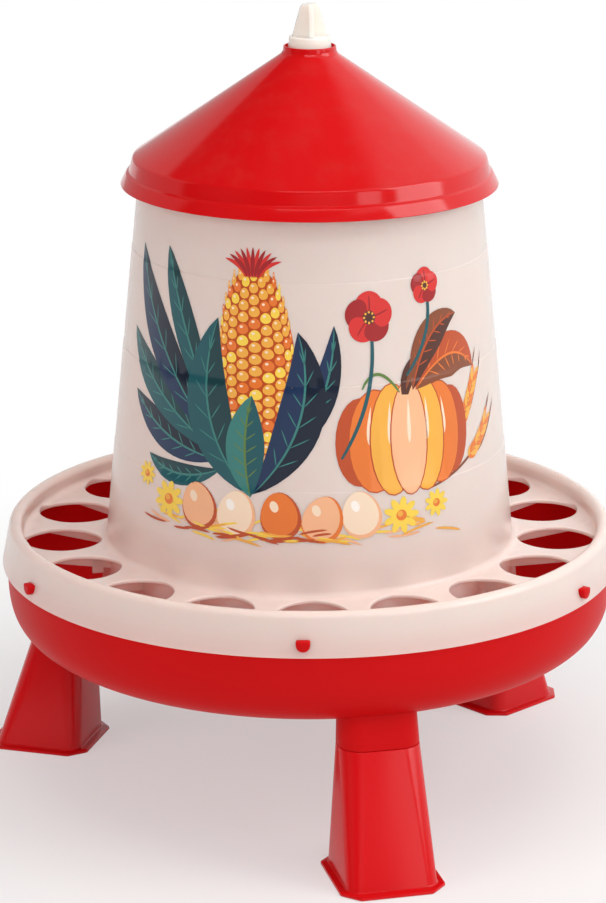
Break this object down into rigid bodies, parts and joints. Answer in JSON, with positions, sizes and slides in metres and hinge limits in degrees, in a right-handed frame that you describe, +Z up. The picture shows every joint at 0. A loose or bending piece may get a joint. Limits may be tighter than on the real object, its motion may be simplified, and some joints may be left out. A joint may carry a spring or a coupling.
{
  "type": "poultry feeder",
  "caption": "Free-standing hopper feeder for hens: conical lid, tapered hopper with a ring of feeding holes, round pan and plug-in legs.",
  "frame": {"origin": "on the floor under the middle of the whole feeder's box; the feeder's own axis stands 9.1 mm to +X and 8.5 mm to +Y of it, because the feet reach past the rim", "axes": "+Z up along the hopper's axis; the camera of the picture looks along +Y, so -Y is the front"},
  "size_m": [0.438, 0.4418, 0.5345],
  "materials": {
    "white_polypropylene": "milky, slightly see-through moulded polypropylene with a soft sheen",
    "red_polypropylene": "glossy moulded red polypropylene"
  },
  "bodies": {
    "root": {"hopper": "white_polypropylene", "feed_pan": "red_polypropylene", "lid": "red_polypropylene", "hanging_post": "white_polypropylene", "leg_1": "red_polypropylene", "leg_2": "red_polypropylene", "leg_3": "red_polypropylene"}
  },
  "joints": []
}
